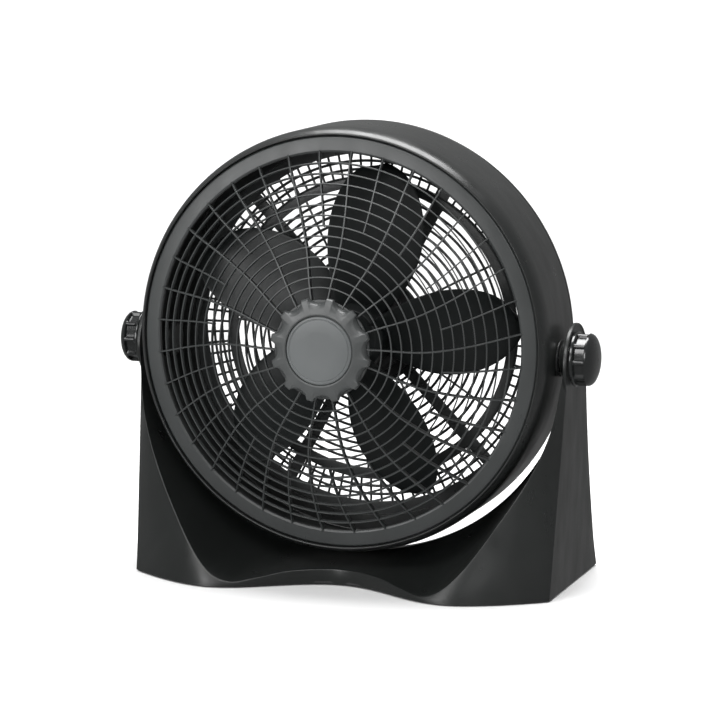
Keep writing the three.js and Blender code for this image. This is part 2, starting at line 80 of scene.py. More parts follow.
DRUM = np.array([0, OPENING_Y, CENTRE_Z])
STAND = np.array([0, OPENING_Y, 0])
PIVOT = np.array([0, OPENING_Y + PIVOT_Y, CENTRE_Z + PIVOT_Z])
REARWARD = np.array([0.0, 1.0, 0.0])


# ---- camera, floor and light ----

def new_object(name, data):
    obj = bpy.data.objects.new(name, data)
    bpy.context.scene.collection.objects.link(obj)
    return obj


def aim(obj, target):
    direction = Vector(target) - obj.location
    obj.rotation_mode = "QUATERNION"
    obj.rotation_quaternion = direction.to_track_quat("-Z", "Y")


def make_camera():
    azimuth, elevation = math.radians(CAMERA_AZIMUTH), math.radians(CAMERA_ELEVATION)
    target = Vector(CAMERA_TARGET)
    back = Vector((math.sin(azimuth) * math.cos(elevation),
                   -math.cos(azimuth) * math.cos(elevation), math.sin(elevation)))
    data = bpy.data.cameras.new("view_camera")
    data.sensor_width = 36
    data.lens = CAMERA_LENS
    data.clip_end = 100
    camera = new_object("view_camera", data)
    camera.location = target + back * CAMERA_DISTANCE
    aim(camera, target)
    bpy.context.scene.camera = camera


def area_light(name, place, target, size, power, reflected=True):
    """A soft rectangular lamp. One that isn't reflected lights the scene but never shows in a gloss."""
    data = bpy.data.lights.new(name, "AREA")
    data.shape = "RECTANGLE"
    data.size, data.size_y = size
    data.energy = power
    lamp = new_object(name, data)
    lamp.location = place
    lamp.visible_glossy = reflected
    aim(lamp, target)


def make_world():
    world = bpy.data.worlds.new("studio")
    world.use_nodes = True
    set_inputs(world.node_tree.nodes["Background"], {"Color": (1.0, 1.0, 1.0, 1.0), "Strength": 0.25})
    bpy.context.scene.world = world
    bpy.context.scene.view_settings.view_transform = "Standard"


def make_lights():
    area_light("top_softbox", (0.0, 0.3, 2.0), LIGHT_TARGET, (1.5, 1.0), 60)
    area_light("high_softbox", (-0.4, -1.9, 2.0), LIGHT_TARGET, (1.6, 0.8), 32)
    area_light("front_softbox", (-1.1, -2.7, 0.75), LIGHT_TARGET, (1.4, 1.0), 26)
    area_light("right_softbox", (1.3, -2.2, 1.3), LIGHT_TARGET, (0.6, 1.0), 15)
    area_light("floor_wash", (0.0, -0.4, 3.4), FLOOR_TARGET, (4.5, 4.5), 60, False)
    area_light("wall_wash", (-0.8, 3.4, 4.2), WALL_TARGET, (8.0, 1.5), 400, False)


# ---- mesh tools ----

class Shape:
    """Vertices in mm and faces, gathered from several closed bodies."""

    def __init__(self):
        self.points = []
        self.faces = []
        self.count = 0

    def add(self, points, faces):
        points = np.asarray(points, float).reshape(-1, 3)
        self.faces.extend([tuple(i + self.count for i in face) for face in faces])
        self.points.append(points)
        self.count += len(points)
        return self

    def moved(self, offset):
        self.points = [np.vstack(self.points) + np.asarray(offset, float)]
        return self


def make_object(name, shape, material, body, node, sharp=32.0):
    """A smooth-shaded object that rides on a body and takes the place of one CAD node."""
    mesh = bpy.data.meshes.new(name)
    points = np.vstack(shape.points) * MM
    mesh.from_pydata(points.tolist(), [], shape.faces)
    tidy = bmesh.new()
    tidy.from_mesh(mesh)
    bmesh.ops.recalc_face_normals(tidy, faces=tidy.faces)
    limit = math.radians(sharp)
    for edge in tidy.edges:
        edge.smooth = not (len(edge.link_faces) == 2 and edge.calc_face_angle(0.0) > limit)
    for face in tidy.faces:
        face.smooth = True
    tidy.to_mesh(mesh)
    tidy.free()
    mesh.materials.append(MATERIALS[material])
    obj = new_object(name, mesh)
    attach(obj, body)
    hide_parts(node)


def rounded(corners, closed=True, step=15.0):
    """Rounds each corner [a, b, radius] of an outline, with one point for every step degrees."""
    count = len(corners)
    out = []
    for i, corner in enumerate(corners):
        here = np.array(corner[:2], float)
        radius = corner[2] if len(corner) > 2 else 0.0
        if radius <= 0 or (not closed and i in (0, count - 1)):
            out.append(here)
            continue
        before = np.array(corners[i - 1][:2], float) - here
        after = np.array(corners[(i + 1) % count][:2], float) - here
        len_a, len_b = np.linalg.norm(before), np.linalg.norm(after)
        u, v = before / len_a, after / len_b
        opening = math.acos(np.clip(u @ v, -1, 1))
        if opening > math.radians(179):
            out.append(here)
            continue
        cut = min(radius / math.tan(opening / 2), 0.48 * len_a, 0.48 * len_b)
        size = cut * math.tan(opening / 2)
        middle = (u + v) / np.linalg.norm(u + v)
        centre = here + middle * size / math.sin(opening / 2)
        start, end = here + u * cut - centre, here + v * cut - centre
        turn = math.atan2(start[0] * end[1] - start[1] * end[0], start @ end)
        steps = max(2, int(math.ceil(abs(math.degrees(turn)) / step)))
        for k in range(steps + 1):
            angle = turn * k / steps
            cos, sin = math.cos(angle), math.sin(angle)
            out.append(centre + np.array([start[0] * cos - start[1] * sin,
                                          start[0] * sin + start[1] * cos]))
    return out


def subdivided(profile, spacing, fine):
    """Splits the steps of a profile that fine(a, b) picks into parts of about the given length."""
    points = [np.array(point, float) for point in profile]
    out = [points[0]]
    for a, b in zip(points, points[1:]):
        parts = max(1, int(np.linalg.norm(b - a) / spacing)) if fine(a, b) else 1
        out.extend(a + (b - a) * (i + 1) / parts for i in range(parts))
    return out


def grid_faces(rows, size, closed=False):
    """Faces of a grid of closed rows. The end rows are capped unless the rows close on themselves."""
    faces = []
    for i in range(rows if closed else rows - 1):
        n = (i + 1) % rows
        for j in range(size):
            k = (j + 1) % size
            faces.append((i * size + j, i * size + k, n * size + k, n * size + j))
    if not closed:
        faces.append(tuple(range(size)))
        faces.append(tuple((rows - 1) * size + j for j in range(size)))
    return faces


def lathe(profile, count, radius_at=None):
    """Turns a closed outline of [radius, y] points, or one that ends on the axis, about Y.

    radius_at(radius, y, angles) can vary the radius round the turn.
    """
    angles = np.arange(count) * 2 * math.pi / count
    rows, points = [], []
    for radius, y in profile:
        if radius < 1e-6:
            rows.append([len(points)] * count)
            points.append((0.0, y, 0.0))
            continue
        radii = np.full(count, radius) if radius_at is None else radius_at(radius, y, angles)
        rows.append(list(range(len(points), len(points) + count)))
        points.extend(zip(radii * np.cos(angles), np.full(count, y), radii * np.sin(angles)))
    faces = []
    for a, b in zip(rows, rows[1:] + rows[:1]):
        for j in range(count):
            k = (j + 1) % count
            face = list(dict.fromkeys((a[j], a[k], b[k], b[j])))
            if len(face) > 2:
                faces.append(tuple(face))
    return np.array(points), faces


def turned(profile, count, radius_at=None, start=0.0):
    """One body turned about the drum's axis, its profile's y measured from start."""
    return Shape().add(*lathe(profile, count, radius_at)).moved(DRUM + REARWARD * start)


def sweep(path, outward, section, closed):
    """Runs an [across, out] section along a path, with out along the given outward directions."""
    path = np.asarray(path, float)
    if closed:
        tangent = np.roll(path, -1, 0) - np.roll(path, 1, 0)
    else:
        tangent = np.gradient(path, axis=0)
    tangent /= np.linalg.norm(tangent, axis=1)[:, None]
    out = outward - tangent * np.sum(outward * tangent, axis=1)[:, None]
    out /= np.linalg.norm(out, axis=1)[:, None]
    across = np.cross(tangent, out)
    section = np.asarray(section, float)
    points = (path[:, None, :] + across[:, None, :] * section[None, :, :1]
              + out[:, None, :] * section[None, :, 1:]).reshape(-1, 3)
    return points, grid_faces(len(path), len(section), closed)


def ellipse(width, depth, count=8):
    angles = np.arange(count) * 2 * math.pi / count
    return np.column_stack([width / 2 * np.cos(angles), depth / 2 * np.sin(angles)])


def turn_y(points, degrees):
    """Turns points about Y, positive from +X towards +Z."""
    angle = math.radians(degrees)
    cos, sin = math.cos(angle), math.sin(angle)
    points = np.asarray(points, float)
    x, z = points[:, 0], points[:, 2]
    return np.column_stack([x * cos - z * sin, points[:, 1], x * sin + z * cos])


def along_x(points, side):
    """Lays a body made about Y on the X axis, its +Y end towards side * X."""
    x, y, z = np.asarray(points, float).T
    return np.column_stack([side * y, x, z])


def along_z(points):
    """Stands a body made about Y on the Z axis, its +Y end up."""
    x, y, z = np.asarray(points, float).T
    return np.column_stack([x, z, y])


def add_on_sides(shape, profile, count, place):
    """Adds a turned body on each side, laid along the X axis through place."""
    points, faces = lathe(profile, count)
    for side in (-1, 1):
        shape.add(along_x(points, side) + place, faces)


def polar(radius, degrees, y):
    angle = np.radians(degrees)
    radius = np.asarray(radius, float)
    return np.stack(np.broadcast_arrays(radius * np.cos(angle), y, radius * np.sin(angle)), axis=-1)


# ---- materials ----

def set_inputs(node, values):
    for name, value in values.items():
        node.inputs[name].default_value = value


def new_material(name):
    material = bpy.data.materials.new(name)
    material.use_nodes = True
    nodes, links = material.node_tree.nodes, material.node_tree.links
    return material, nodes, links, nodes["Principled BSDF"]


def noise(nodes, links, scale, detail=3.0, stretch=None):
    """A noise texture in object space, whose unit is the metre."""
    coordinates = nodes.new("ShaderNodeTexCoord")
    texture = nodes.new("ShaderNodeTexNoise")
    set_inputs(texture, {"Scale": scale, "Detail": detail})
    if stretch is None:
        links.new(coordinates.outputs["Object"], texture.inputs["Vector"])
        return texture
    mapping = nodes.new("ShaderNodeMapping")
    set_inputs(mapping, {"Scale": stretch})
    links.new(coordinates.outputs["Object"], mapping.inputs["Vector"])
    links.new(mapping.outputs["Vector"], texture.inputs["Vector"])
    return texture


def spread(nodes, links, texture, low, high):
    """Stretches the middle of a noise texture's range to run from low to high."""
    ranged = nodes.new("ShaderNodeMapRange")
    set_inputs(ranged, {"From Min": 0.3, "From Max": 0.7, "To Min": low, "To Max": high})
    links.new(texture.outputs["Fac"], ranged.inputs["Value"])
    return ranged.outputs["Result"]


def add_bump(nodes, links, shader, texture, strength, distance):
    """Raises the surface by a texture's value, with distance in metres."""
    bump = nodes.new("ShaderNodeBump")
    set_inputs(bump, {"Strength": strength, "Distance": distance})
    links.new(texture.outputs["Fac"], bump.inputs["Height"])
    links.new(bump.outputs["Normal"], shader.inputs["Normal"])


def add_color(nodes, links, shader, factor, low, high):
    """Colours the surface from low to high as the factor goes from 0 to 1."""
    mix = nodes.new("ShaderNodeMix")
    mix.data_type = "RGBA"
    set_inputs(mix, {"A": (*low, 1.0), "B": (*high, 1.0)})
    links.new(factor, mix.inputs["Factor"])
    links.new(mix.outputs["Result"], shader.inputs["Base Color"])


def plastic(name, color, roughness, grain=0.5, grain_size=0.6, sheen=0.06, coat=0.0, ior=1.5):
    """Moulded plastic: fine spark grain, broad flow marks, and handling marks in the gloss."""
    material, nodes, links, shader = new_material(name)
    broad = noise(nodes, links, 9.0, 2.0)
    marks = noise(nodes, links, 42.0, 5.0, (1.0, 1.0, 0.35))
    fine = noise(nodes, links, 1000.0 / grain_size, 2.0)
    low = tuple(c * 0.86 for c in color)
    high = tuple(min(1.0, c * 1.14 + 0.001) for c in color)
    add_color(nodes, links, shader, spread(nodes, links, broad, 0.0, 1.0), low, high)
    gloss = spread(nodes, links, marks, roughness - sheen, roughness + sheen)
    links.new(gloss, shader.inputs["Roughness"])
    add_bump(nodes, links, shader, fine, grain, 0.00012)
    set_inputs(shader, {"IOR": ior, "Coat Weight": coat, "Coat Roughness": 0.12})
    return material


def metal(name, color, roughness, stretch):
    """Drawn or turned metal with fine lines along one direction and slight tarnish."""
    material, nodes, links, shader = new_material(name)
    lines = noise(nodes, links, 900.0, 4.0, stretch)
    tarnish = noise(nodes, links, 60.0, 4.0)
    low = tuple(c * 0.7 for c in color)
    add_color(nodes, links, shader, spread(nodes, links, tarnish, 0.0, 1.0), low, color)
    gloss = spread(nodes, links, lines, roughness - 0.08, roughness + 0.12)
    links.new(gloss, shader.inputs["Roughness"])
    add_bump(nodes, links, shader, lines, 0.25, 0.00008)
    set_inputs(shader, {"Metallic": 1.0})
    return material


def windings_material():
    """Lacquered copper wire: fine turns shown as ridges, with painted shade darkening the grooves
    between them.
    """
    material, nodes, links, shader = new_material("copper_windings")
    coordinates = nodes.new("ShaderNodeTexCoord")
    wave = nodes.new("ShaderNodeTexWave")
    wave.wave_type = "RINGS"
    wave.rings_direction = "Y"
    set_inputs(wave, {"Scale": 220.0, "Distortion": 1.5})
    links.new(coordinates.outputs["Object"], wave.inputs["Vector"])
    # Painted shade: the colour darkens with the wave in the grooves between the turns.
    add_color(nodes, links, shader, wave.outputs["Fac"], (0.18, 0.05, 0.02), (0.62, 0.24, 0.1))
    add_bump(nodes, links, shader, wave, 0.6, 0.0004)
    set_inputs(shader, {"Metallic": 0.8, "Roughness": 0.32})
    return material


def floor_material():
    material, nodes, links, shader = new_material("studio_floor")
    grain = noise(nodes, links, 6.0, 3.0)
    tint = spread(nodes, links, grain, 0.0, 1.0)
    add_color(nodes, links, shader, tint, (0.8, 0.8, 0.8), (0.82, 0.82, 0.82))
    set_inputs(shader, {"Roughness": 0.9})
    return material


MATERIALS = {
    "stand": plastic("stand_satin_black", (0.010, 0.0112, 0.0108), 0.33, 0.45, 0.55),
    "drum": plastic("drum_satin_black", (0.012, 0.013, 0.0128), 0.32, 0.4, 0.5),
    # The guard's base colour is lighter than the casing's: painted highlight standing in for the light
    # its wires and bezel catch.
    "grille": plastic("guard_satin_black", (0.030, 0.0325, 0.0325), 0.33, 0.3, 0.4),
    # The cap and its disc have lighter base colours still: painted sheen for the front light on their
    # faces, over the disc's own grey.
    "hub": plastic("hub_satin_black", (0.046, 0.049, 0.049), 0.34, 0.35, 0.45),
    "disc": plastic("hub_disc_grey", (0.084, 0.09, 0.091), 0.34, 0.3, 0.4),
    "blades": plastic("blade_gloss_black", (0.009, 0.0105, 0.0105), 0.36, 0.2, 0.8, 0.05, 0.0, 1.33),
    "gloss": plastic("knob_gloss_black", (0.008, 0.009, 0.009), 0.17, 0.15, 0.5, 0.04, 0.3),
    "motor": plastic("motor_matt_black", (0.022, 0.022, 0.023), 0.55, 0.6, 0.7),
    "rubber": plastic("rubber_black", (0.018, 0.018, 0.018), 0.82, 0.9, 1.1, 0.08),
    "steel": metal("zinc_steel", (0.62, 0.63, 0.64), 0.32, (1.0, 0.06, 1.0)),
    "laminate": metal("laminated_steel", (0.4, 0.4, 0.41), 0.45, (0.05, 1.6, 0.05)),
    "brass": metal("turned_brass", (0.72, 0.5, 0.2), 0.3, (0.06, 1.0, 1.0)),
    "copper": windings_material(),
    "label": plastic("pale_marking", (0.55, 0.56, 0.56), 0.5, 0.2, 0.5),
}


# ---- floor and backdrop ----

def make_floor():
    """A floor that curves up into a wall far behind the fan."""
    half, near, far, height, bend = 9.0, -9.0, 7.0, 7.0, 3.0
    profile = [(near, 0.0)]
    for k in range(17):
        angle = math.pi / 2 * k / 16
        profile.append((far - bend + bend * math.sin(angle), bend - bend * math.cos(angle)))
    profile.append((far, height))
    columns = 13
    points = [(-half + 2 * half * i / (columns - 1), y, z - 0.0002) for y, z in profile
              for i in range(columns)]
    faces = [(r * columns + i, r * columns + i + 1, (r + 1) * columns + i + 1, (r + 1) * columns + i)
             for r in range(len(profile) - 1) for i in range(columns - 1)]
    mesh = bpy.data.meshes.new("studio_sweep")
    mesh.from_pydata(points, [], faces)
    mesh.shade_smooth()
    mesh.materials.append(floor_material())
    obj = new_object("studio_sweep", mesh)
    obj.visible_glossy = False


# ---- stand ----

CREASE_KNOTS = [(-50, -17, 17), (0, 2, 18), (50, -17, 17), (82, -35, 11), (108, -46, 7),
                (128, -48, 14), (150, -41, 34), (188, -20, 89), (215, 0, 136), (231, 14, 178),
                (240.5, 27, 236)]
CRADLE_RADIUS = 239.5
CREST_FRONT, CREST_REAR = 70.0, 82.0
HALF_WIDTH, DEPTH = 236.0, 194.0
STAND_BOTTOM = 1.5
SIDE_FLARE, FRONT_RAKE = 0.03, 0.16
FOOT_LOBE = 135.0
ARCH_MIDDLE, ARCH_SWING, LOBE_FRONT = -25.0, 27.0, -52.0
REAR_RAKE, REAR_CURVE = 0.45, 0.0005
PANEL_BULGE, BULGE_SPAN = 3.4, 80.0
STAND_WALL = 3.0
ARM_TOP, HOLLOW_TOP = (240.5, 236.0), (240.0, 185.0)
EAR_Y, EAR_Z, EAR_RADIUS = 70.0, 246.0, 43.0
EAR_INNER, EAR_BACK, EAR_FACE = 233.5, 239.8, 242.6
EAR_BOSS_RADIUS, EAR_BORE = 20.0, 6.2
EAR_FADE = 55.0


def curve_through(knots, per_span=60):
    """A centripetal Catmull-Rom curve."""
    p = np.array(knots, float)
    p = np.vstack([2 * p[0] - p[1], p, 2 * p[-1] - p[-2]])
    t = np.linspace(0, 1, per_span, endpoint=False)[:, None]
    out = []
    for i in range(1, len(p) - 2):
        p0, p1, p2, p3 = p[i - 1:i + 3]
        d0, d1, d2 = [np.sum((b - a) ** 2) ** 0.25 for a, b in ((p0, p1), (p1, p2), (p2, p3))]
        m1 = ((p1 - p0) / d0 - (p2 - p0) / (d0 + d1) + (p2 - p1) / d1) * d1
        m2 = ((p2 - p1) / d1 - (p3 - p1) / (d1 + d2) + (p3 - p2) / d2) * d1
        out.append((2 * t ** 3 - 3 * t ** 2 + 1) * p1 + (t ** 3 - 2 * t ** 2 + t) * m1
                   + (-2 * t ** 3 + 3 * t ** 2) * p2 + (t ** 3 - t ** 2) * m2)
    return np.vstack(out + [p[-2:-1]])


CREASE = curve_through(CREASE_KNOTS)
CREASE = CREASE[CREASE[:, 0] >= 0]
CREASE_ANGLES = np.arctan2(CREASE[:, 0], CENTRE_Z - CREASE[:, 2])


def fall_angle(x, z):
    """Angle of a point from straight down, seen from the front about the drum's centre."""
    return math.atan2(x, CENTRE_Z - z)


def foot_line(x):
    """Front edge of the stand on the floor: an arch between two forward lobes."""
    if x < FOOT_LOBE:
        return ARCH_MIDDLE + ARCH_SWING * math.cos(math.pi * x / FOOT_LOBE)
    return LOBE_FRONT * (1 - ((x - FOOT_LOBE) / (HALF_WIDTH - FOOT_LOBE)) ** 1.6)


def rear_edge(z):
    return DEPTH - REAR_RAKE * z + REAR_CURVE * z * z


def outer_at(angle, inset):
    """Radius, front y and rear y of the stand's outer wall or foot at an angle from straight down."""
    slope = math.tan(angle)
    floor_x = slope * (CENTRE_Z - STAND_BOTTOM)
    if floor_x <= HALF_WIDTH + SIDE_FLARE * STAND_BOTTOM - inset:
        front = foot_line(min(floor_x, HALF_WIDTH))
        radius = math.hypot(floor_x, CENTRE_Z - STAND_BOTTOM)
        return radius, front + inset, DEPTH - inset
    x = (HALF_WIDTH + SIDE_FLARE * CENTRE_Z - inset) / (1 + SIDE_FLARE / slope)
    z = CENTRE_Z - x / slope
    height = max(z, 0.0)
    return (math.hypot(x, CENTRE_Z - z), FRONT_RAKE * height + inset, rear_edge(height) - inset)


def cut_curve(points, from_start, from_end, count):
    """Resamples a curve to count points after taking a length off each end."""
    points = np.asarray(points, float)
    steps = np.linalg.norm(np.diff(points, axis=0), axis=1)
    length = np.concatenate([[0], np.cumsum(steps)])
    total = length[-1]
    from_start, from_end = min(from_start, 0.42 * total), min(from_end, 0.42 * total)
    at = np.linspace(from_start, total - from_end, count)
    return np.column_stack([np.interp(at, length, points[:, k]) for k in range(2)])


SECTION_COUNTS = (3, 26, 12, 10, 16)
FILLET_POINTS = 5
RUN_POINTS = 80
STEPS_LOW, STEPS_HIGH = 44, 46
EDGE_FILLETS = (2.0, 3.0, 1.3, 1.6, 4.0)
HOLLOW_FILLETS = (0.3,) * 5
CORNER_FADE = 0.06


def stand_section(angle, inset, fillets):
    """One outline of the stand in a radial plane, as [radius, y] points in five joined runs.

    The runs are the crest strip, the saddle, the front panel, the outer wall and the rear face.
    """
    crest = CRADLE_RADIUS + inset
    crease_x, crease_y, crease_z = [np.interp(angle, CREASE_ANGLES, CREASE[:, k]) for k in range(3)]
    crease = math.hypot(crease_x, CENTRE_Z - crease_z) + inset
    crease_y += inset
    outer, front, rear = outer_at(angle, inset)
    crest_front, crest_rear = CREST_FRONT + inset, CREST_REAR - inset
    s = np.linspace(0, 1, RUN_POINTS)
    bulge = PANEL_BULGE * np.sin(math.pi * s) * min(1.0, (outer - crease) / BULGE_SPAN)
    runs = [
        np.column_stack([np.full(RUN_POINTS, crest), crest_rear + (crest_front - crest_rear) * s]),
        np.column_stack([crest + (crease - crest) * s,
                         crest_front + (crease_y - crest_front) * s ** 1.7]),
        np.column_stack([crease + (outer - crease) * s, crease_y + (front - crease_y) * s - bulge]),
        np.column_stack([np.full(RUN_POINTS, outer), front + (rear - front) * s]),
        np.column_stack([outer + (crest - outer) * s,
                         crest_rear + (rear - crest_rear) * (1 - s) ** 0.75]),
    ]
    outline = [cut_curve(run, fillets[k], fillets[(k + 1) % 5], SECTION_COUNTS[k])
               for k, run in enumerate(runs)]
    joined = []
    for k in range(5):
        joined.append(outline[k])
        start, end = outline[k][-1], outline[(k + 1) % 5][0]
        corner = runs[k][-1]
        for i in range(1, FILLET_POINTS):
            t = i / FILLET_POINTS
            joined.append([(1 - t) ** 2 * start + 2 * t * (1 - t) * corner + t * t * end])
    return np.vstack(joined)


def stand_loft(inset, top, fillet_sizes):
    """Sections from the top of one arm round to the other, with the index of each floor corner."""
    corner = math.atan2(HALF_WIDTH + SIDE_FLARE * STAND_BOTTOM - inset, CENTRE_Z - STAND_BOTTOM)
    low = [corner * i / STEPS_LOW for i in range(STEPS_LOW + 1)]
    rise = [i / STEPS_HIGH for i in range(1, STEPS_HIGH + 1)]
    high = [corner + (fall_angle(*top) - corner) * t for t in rise]
    sections = []
    for angle in low + high:
        on_side = min(1.0, max(0.0, (angle - corner) / CORNER_FADE))
        fillets = [size * (on_side if k > 2 else 1.0) for k, size in enumerate(fillet_sizes)]
        sections.append((angle, stand_section(max(angle, 1e-6), inset, fillets).T))
    mirrored = [(-angle, flat) for angle, flat in reversed(sections[1:])]
    lofted = [np.column_stack([radius * math.sin(angle), y, CENTRE_Z - radius * math.cos(angle)])
              for angle, (radius, y) in mirrored + sections]
    return np.array(lofted), STEPS_HIGH, STEPS_HIGH + 2 * STEPS_LOW


def floor_run():
    """Index range of the outer wall run, which is open where the section meets the floor."""
    start = sum(SECTION_COUNTS[:3]) + 2 * (FILLET_POINTS - 1)
    return start - 1, start + SECTION_COUNTS[3] + 2 * (FILLET_POINTS - 1)


def ear_points(points, side):
    """Places an ear on its arm and sinks its lower half until it runs out in the arm's face."""
    points = along_x(points, side) + np.array([0, EAR_Y, EAR_Z])
    wall = HALF_WIDTH + SIDE_FLARE * points[:, 2]
    proud = np.maximum(np.abs(points[:, 0]) - wall, 0)
    share = np.clip((points[:, 2] - (EAR_Z - EAR_RADIUS)) / EAR_FADE, 0, 1)
    sunk = 1 - share * share * (3 - 2 * share)
    points[:, 0] -= side * sunk * (proud + np.where(proud > 0, 0.4, 0))
    return points


def add_ears(shape):
    lip = EAR_FACE + 2.1
    ear = rounded([(0, EAR_BACK), (EAR_RADIUS - 2, EAR_BACK, 0.6), (EAR_RADIUS, EAR_BACK + 0.8, 0.8),
                   (EAR_RADIUS, lip - 1.1, 0.5), (EAR_RADIUS - 0.6, lip, 0.4),
                   (EAR_RADIUS - 2.4, lip, 0.4), (EAR_RADIUS - 3, lip - 0.9, 0.4),
                   (EAR_RADIUS - 9, lip - 0.9, 3), (EAR_RADIUS - 12, EAR_FACE, 2), (0, EAR_FACE)],
                  False, 20)
    boss = rounded([(EAR_BORE, EAR_INNER, 0.4), (EAR_BOSS_RADIUS - 1, EAR_INNER, 0.6),
                    (EAR_BOSS_RADIUS, EAR_BACK + 0.7, 0.5), (EAR_BORE, EAR_BACK + 0.7, 0.3)])
    points, faces = lathe(ear, 96)
    for side in (-1, 1):
        shape.add(ear_points(points, side), faces)
    add_on_sides(shape, boss, 64, [0, PIVOT_Y, CENTRE_Z + PIVOT_Z])


def stand_shape():
    """A thin shell: the outer loft and the hollow's loft, joined round the opening on the floor."""
    outer, first, last = stand_loft(0.0, ARM_TOP, EDGE_FILLETS)
    inner = stand_loft(STAND_WALL, HOLLOW_TOP, HOLLOW_FILLETS)[0]
    stations, size = outer.shape[:2]
    open_from, open_to = floor_run()
    shape = Shape()
    points = np.vstack([outer.reshape(-1, 3), inner.reshape(-1, 3)])
    inner_start = stations * size
    faces = []
    for start in (0, inner_start):
        for i in range(stations - 1):
            for j in range(size):
                k = (j + 1) % size
                if first <= i < last and open_from <= j < open_to:
                    continue
                a, b = start + i * size, start + (i + 1) * size
                faces.append((a + j, a + k, b + k, b + j))
        faces.append(tuple(start + j for j in range(size)))
        faces.append(tuple(start + (stations - 1) * size + j for j in range(size)))
    rim = [(i, open_from) for i in range(first, last + 1)]
    rim += [(last, j) for j in range(open_from + 1, open_to + 1)]
    rim += [(i, open_to % size) for i in range(last - 1, first - 1, -1)]
    rim += [(first, j) for j in range(open_to - 1, open_from, -1)]
    for (i, j), (m, n) in zip(rim, rim[1:] + rim[:1]):
        a, b = i * size + j, m * size + n
        faces.append((a, b, inner_start + b, inner_start + a))
    shape.add(points, faces)
    add_ears(shape)
    return shape.moved(STAND)


# ---- drum and guards ----

OPENING_RADIUS = 205.0
DOME_HEIGHT = 52.0
HUB_RADIUS = 56.0
RING_COUNT, RING_PITCH, OUTER_RING = 13, 10.6, 193.0
RIB_COUNT = 18
RIB_START, HALF_RIB_START, RIB_END = 47.0, 128.5, 206.5
BEZEL_INNER, BEZEL_OUTER = 203.6, 221.3
REAR_Y, REAR_FACE = 108.0, 112.0


def dome_front(radius):
    """Front of the domed guard: nearly flat in the middle, steep at the rim."""
    s = np.minimum(np.asarray(radius, float) / OPENING_RADIUS, 1)
    return -3 - DOME_HEIGHT * np.cos(math.pi / 2 * s ** 1.25) ** 0.8


LEAN_RADII = (40, 57, 100, 140, 170, 205)
LEAN_DEGREES = (2.9, 2.3, 0.0, 1.8, 3.7, 5.7)


def rib_lean(radius):
    """The ribs' lean in degrees, smoothed so that each rib is one flowing curve."""
    return np.mean([np.interp(radius + shift, LEAN_RADII, LEAN_DEGREES)
                    for shift in (-14, -7, 0, 7, 14)], axis=0)


def dome_normals(radius, degrees):
    slope = dome_front(radius + 0.5) - dome_front(radius - 0.5)
    normal = polar(slope, degrees, -1.0)
    return normal / np.linalg.norm(normal, axis=1)[:, None]


def wire_section(width, depth):
    """A moulded wire: a flat front face with soft edges, drawn in slightly towards the back."""
    half, back = width / 2, width * 0.36
    return rounded([(-back, -depth / 2, 0.2), (back, -depth / 2, 0.2), (half, depth / 2, 0.3),
                    (-half, depth / 2, 0.3)], True, 45)


def around_circle(radius, steps):
    """One radius and one angle in degrees for each step round a circle."""
    return np.full(steps, radius), np.arange(steps) * 360 / steps


def guard_rib(shape, degrees, start, width, depth, sink):
    radius = np.linspace(start, RIB_END, int((RIB_END - start) / 4))
    angle = degrees + rib_lean(radius)
    path = polar(radius, angle, dome_front(radius) + sink)
    shape.add(*sweep(path, dome_normals(radius, angle), wire_section(width, depth), False))


def front_guard_shape():
    shape = Shape()
    for i in range(RING_COUNT):
        radius, around = around_circle(OUTER_RING - RING_PITCH * i, 192)
        path = polar(radius, around, dome_front(radius) + 1.8)
        shape.add(*sweep(path, dome_normals(radius, around), wire_section(1.5, 3.4), True))
    pitch = 360 / RIB_COUNT
    for i in range(RIB_COUNT):
        guard_rib(shape, pitch * i, RIB_START, 1.7, 6.6, 3.4)
        guard_rib(shape, pitch * (i + 0.5), HALF_RIB_START, 1.5, 6.0, 3.1)
    collar = rounded([(46, -52.5, 0.5), (53, -52.2, 0.5), (53, -49.8, 0.5), (46, -50, 0.5)])
    shape.add(*lathe(collar, 96))
    bezel = rounded([(BEZEL_INNER, -2.6, 0.8), (206, -3.4, 1.0), (219.6, -1.6, 1.4),
                     (BEZEL_OUTER, 0.4, 1.0), (BEZEL_OUTER, 13, 0.5), (218.8, 13, 0.5),
                     (218.8, 3, 1.5), (206, 2.4, 1.0), (BEZEL_INNER, 2.4, 0.8)])
    shape.add(*lathe(bezel, 256))
    return shape.moved(DRUM)


DRUM_WALL, DRUM_REAR = 3.0, 120.0
BEAD_RADIUS = 223.0
SHOULDER_RISE, SHOULDER_DEPTH, SHOULDER_END = 7.5, 23.0, 20.0
SEAM_Y = 104.4
LEDGE_INNER = 207.0
PAD_RADIUS, PAD_FACE, PAD_BACK = 20.0, 231.2, 208.4
BOLT_HOLE, INSERT_HOLE, INSERT_FACE = 5.2, 9.4, 224.2


